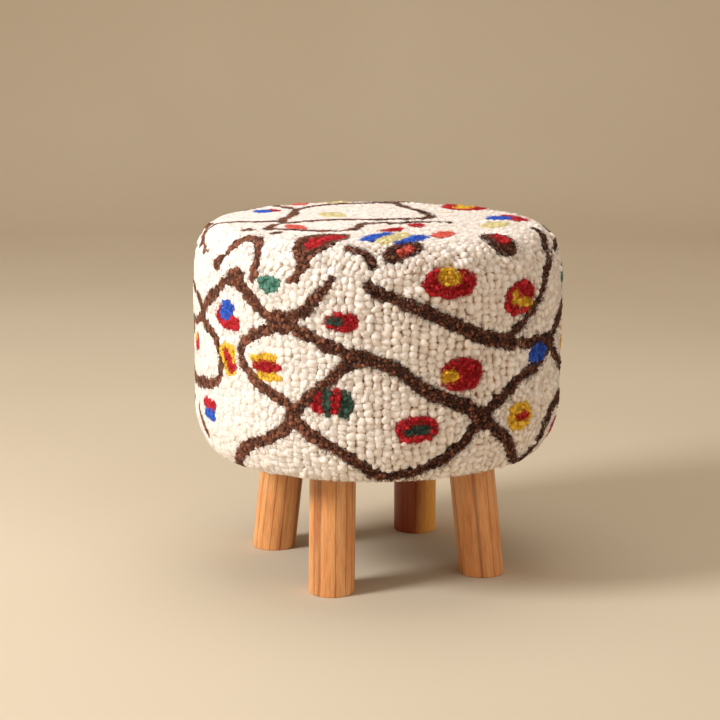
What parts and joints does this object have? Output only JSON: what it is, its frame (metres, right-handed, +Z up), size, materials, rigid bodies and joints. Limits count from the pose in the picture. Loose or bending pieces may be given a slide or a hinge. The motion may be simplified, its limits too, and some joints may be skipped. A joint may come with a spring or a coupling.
{
  "type": "stool",
  "caption": "Low round stool: a drum seat covered in looped wool pile with a lozenge lattice, on splayed round teak legs.",
  "frame": {"origin": "on the floor, under the middle of the seat", "axes": "+Z up, -Y to the front, +X to the right; the legs stand near the four corners between the axes"},
  "size_m": [0.4, 0.4, 0.385],
  "materials": {
    "teak": "oiled, satin, straight grain along the leg",
    "wool_pile": "hooked loops of undyed cream wool with brown lines and small red, yellow, blue and green spots",
    "zinc_plated_steel": "bright zinc, satin",
    "plywood": "sanded, bare",
    "pine": "sawn, bare",
    "hardboard": "smooth, bare",
    "foam": "open cell, matte",
    "cambric": "non-woven, matte"
  },
  "bodies": {
    "root": {"leg_front_left": "teak", "leg_front_right": "teak", "leg_back_left": "teak", "leg_back_right": "teak", "hanger_bolt_front_left": "zinc_plated_steel", "hanger_bolt_front_right": "zinc_plated_steel", "hanger_bolt_back_left": "zinc_plated_steel", "hanger_bolt_back_right": "zinc_plated_steel", "leg_plate_front_left": "zinc_plated_steel", "leg_plate_front_right": "zinc_plated_steel", "leg_plate_back_left": "zinc_plated_steel", "leg_plate_back_right": "zinc_plated_steel", "leg_screw_front_left_1": "zinc_plated_steel", "leg_screw_front_left_2": "zinc_plated_steel", "leg_screw_front_left_3": "zinc_plated_steel", "leg_screw_front_left_4": "zinc_plated_steel", "leg_screw_front_right_1": "zinc_plated_steel", "leg_screw_front_right_2": "zinc_plated_steel", "leg_screw_front_right_3": "zinc_plated_steel", "leg_screw_front_right_4": "zinc_plated_steel", "leg_screw_back_left_1": "zinc_plated_steel", "leg_screw_back_left_2": "zinc_plated_steel", "leg_screw_back_left_3": "zinc_plated_steel", "leg_screw_back_left_4": "zinc_plated_steel", "leg_screw_back_right_1": "zinc_plated_steel", "leg_screw_back_right_2": "zinc_plated_steel", "leg_screw_back_right_3": "zinc_plated_steel", "leg_screw_back_right_4": "zinc_plated_steel", "base_board": "plywood", "top_board": "plywood", "frame_post_front": "pine", "frame_post_right": "pine", "frame_post_back": "pine", "frame_post_left": "pine", "top_post_screw_front": "zinc_plated_steel", "top_post_screw_right": "zinc_plated_steel", "top_post_screw_back": "zinc_plated_steel", "top_post_screw_left": "zinc_plated_steel", "base_post_screw_front": "zinc_plated_steel", "base_post_screw_right": "zinc_plated_steel", "base_post_screw_back": "zinc_plated_steel", "base_post_screw_left": "zinc_plated_steel", "side_shell": "hardboard", "side_foam": "foam", "top_foam": "foam", "side_band": "wool_pile", "top_panel": "wool_pile", "cover_staple_1": "zinc_plated_steel", "cover_staple_2": "zinc_plated_steel", "cover_staple_3": "zinc_plated_steel", "cover_staple_4": "zinc_plated_steel", "cover_staple_5": "zinc_plated_steel", "cover_staple_6": "zinc_plated_steel", "cover_staple_7": "zinc_plated_steel", "cover_staple_8": "zinc_plated_steel", "dust_cover": "cambric", "dust_cover_staple_1": "zinc_plated_steel", "dust_cover_staple_2": "zinc_plated_steel", "dust_cover_staple_3": "zinc_plated_steel", "dust_cover_staple_4": "zinc_plated_steel"}
  },
  "joints": []
}
